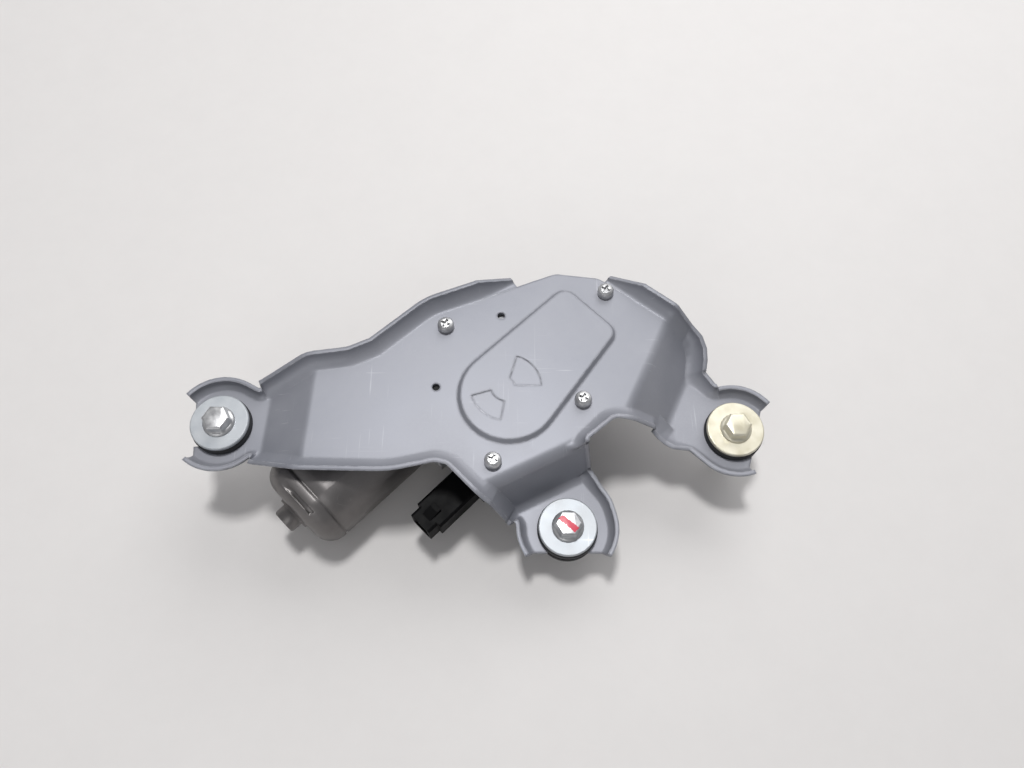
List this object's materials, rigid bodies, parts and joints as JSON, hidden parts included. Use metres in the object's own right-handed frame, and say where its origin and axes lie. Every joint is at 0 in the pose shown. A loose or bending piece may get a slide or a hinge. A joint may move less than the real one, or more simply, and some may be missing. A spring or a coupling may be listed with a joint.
{
  "type": "wiper motor",
  "caption": "Rear wiper motor: stamped sheet bracket with rubber-mounted lugs, worm gearbox, swinging output shaft and plug socket.",
  "frame": {"origin": "on the output shaft's axis, at the middle of the shaft's plain seat for the wiper arm", "axes": "+Z against the output shaft, from its threaded end towards the bracket; +X from the left lug towards the right lug; +Y away from the bottom lug"},
  "size_m": [0.2467, 0.1212, 0.0467],
  "materials": {
    "zinc_sheet": "zinc plated, satin",
    "die_cast_housing": "as cast",
    "gasket": "matt",
    "zinc_screws": "zinc plated",
    "steel_yoke": "plated, satin",
    "ferrite": "matt ferrite",
    "sintered_bronze": "sintered",
    "moulding": "matt",
    "carbon": "matt",
    "spring_steel": "spring temper",
    "contact_brass": "bright",
    "plug_plastic": "matt",
    "seal_rubber": "matt",
    "hardware_steel": "bright",
    "nylon": "matt",
    "laminations": "stacked sheet",
    "copper_wire": "enamelled copper",
    "commutator_copper": "turned copper",
    "gear_steel": "oiled",
    "grommet_rubber": "matt",
    "zinc_washers": "zinc plated",
    "yellow_zinc": "yellow zinc"
  },
  "bodies": {
    "frame": {"mounting_bracket": "zinc_sheet", "gear_housing": "die_cast_housing", "housing_gasket": "gasket", "bracket_screws": "zinc_screws", "spring_washers": "zinc_screws", "yoke_screws": "zinc_screws", "motor_yoke": "steel_yoke", "field_magnets": "ferrite", "yoke_bearing": "sintered_bronze", "worm_bearing": "sintered_bronze", "worm_end_bearing": "sintered_bronze", "shaft_bushing": "sintered_bronze", "brush_card": "moulding", "carbon_brushes": "carbon", "brush_springs": "spring_steel", "park_contacts": "contact_brass", "connector_terminals": "contact_brass", "connector_housing": "plug_plastic", "shaft_seal": "seal_rubber", "shaft_washer": "hardware_steel", "retaining_ring": "spring_steel", "thrust_pad": "nylon", "wheel_pin": "hardware_steel", "wheel_clip": "spring_steel", "grommet_left": "grommet_rubber", "sleeve_left": "zinc_screws", "washer_left": "zinc_washers", "bolt_left": "zinc_screws", "grommet_right": "grommet_rubber", "sleeve_right": "zinc_screws", "washer_right": "yellow_zinc", "bolt_right": "yellow_zinc", "grommet_bottom": "grommet_rubber", "sleeve_bottom": "zinc_screws", "washer_bottom": "zinc_washers", "bolt_bottom": "zinc_screws"},
    "armature": {"armature_shaft": "hardware_steel", "armature_core": "laminations", "armature_windings": "copper_wire", "commutator": "commutator_copper"},
    "wheel": {"worm_wheel": "nylon", "crank_pin": "hardware_steel", "park_ring": "contact_brass"},
    "output": {"output_shaft": "hardware_steel", "output_pinion": "gear_steel"},
    "link": {"link_plates": "gear_steel", "link_rivet": "hardware_steel"},
    "sector": {"sector_gear": "gear_steel"}
  },
  "joints": [
    {"name": "wheel_spin", "type": "hinge", "parent": "frame", "child": "wheel", "pos_m": [-0.02758, -0.02758, 0.0102], "axis": [0, 0, 1], "continuous": true},
    {"name": "armature_spin", "type": "hinge", "parent": "frame", "child": "armature", "pos_m": [-0.04808, -0.00707, 0.0102], "axis": [0.7071, 0.7071, 0], "continuous": true},
    {"name": "output_swing", "type": "hinge", "parent": "frame", "child": "output", "pos_m": [0, 0, 0.0264], "axis": [0, 0, -1], "range_deg": [0, 110]},
    {"name": "link_swing", "type": "hinge", "parent": "frame", "child": "link", "pos_m": [0, 0, 0.0264], "axis": [0, 0, -1], "range_deg": [0, 48.12]},
    {"name": "sector_swing", "type": "hinge", "parent": "link", "child": "sector", "pos_m": [0.0118, -0.01615, 0.0264], "axis": [0, 0, -1], "range_deg": [-48.12, 0]}
  ],
  "couplings": [
    {"joint": "armature_spin", "follows": "wheel_spin", "ratio": 50},
    {"joint": "link_swing", "follows": "output_swing", "ratio": 0.4375},
    {"joint": "sector_swing", "follows": "output_swing", "ratio": -0.4375}
  ]
}
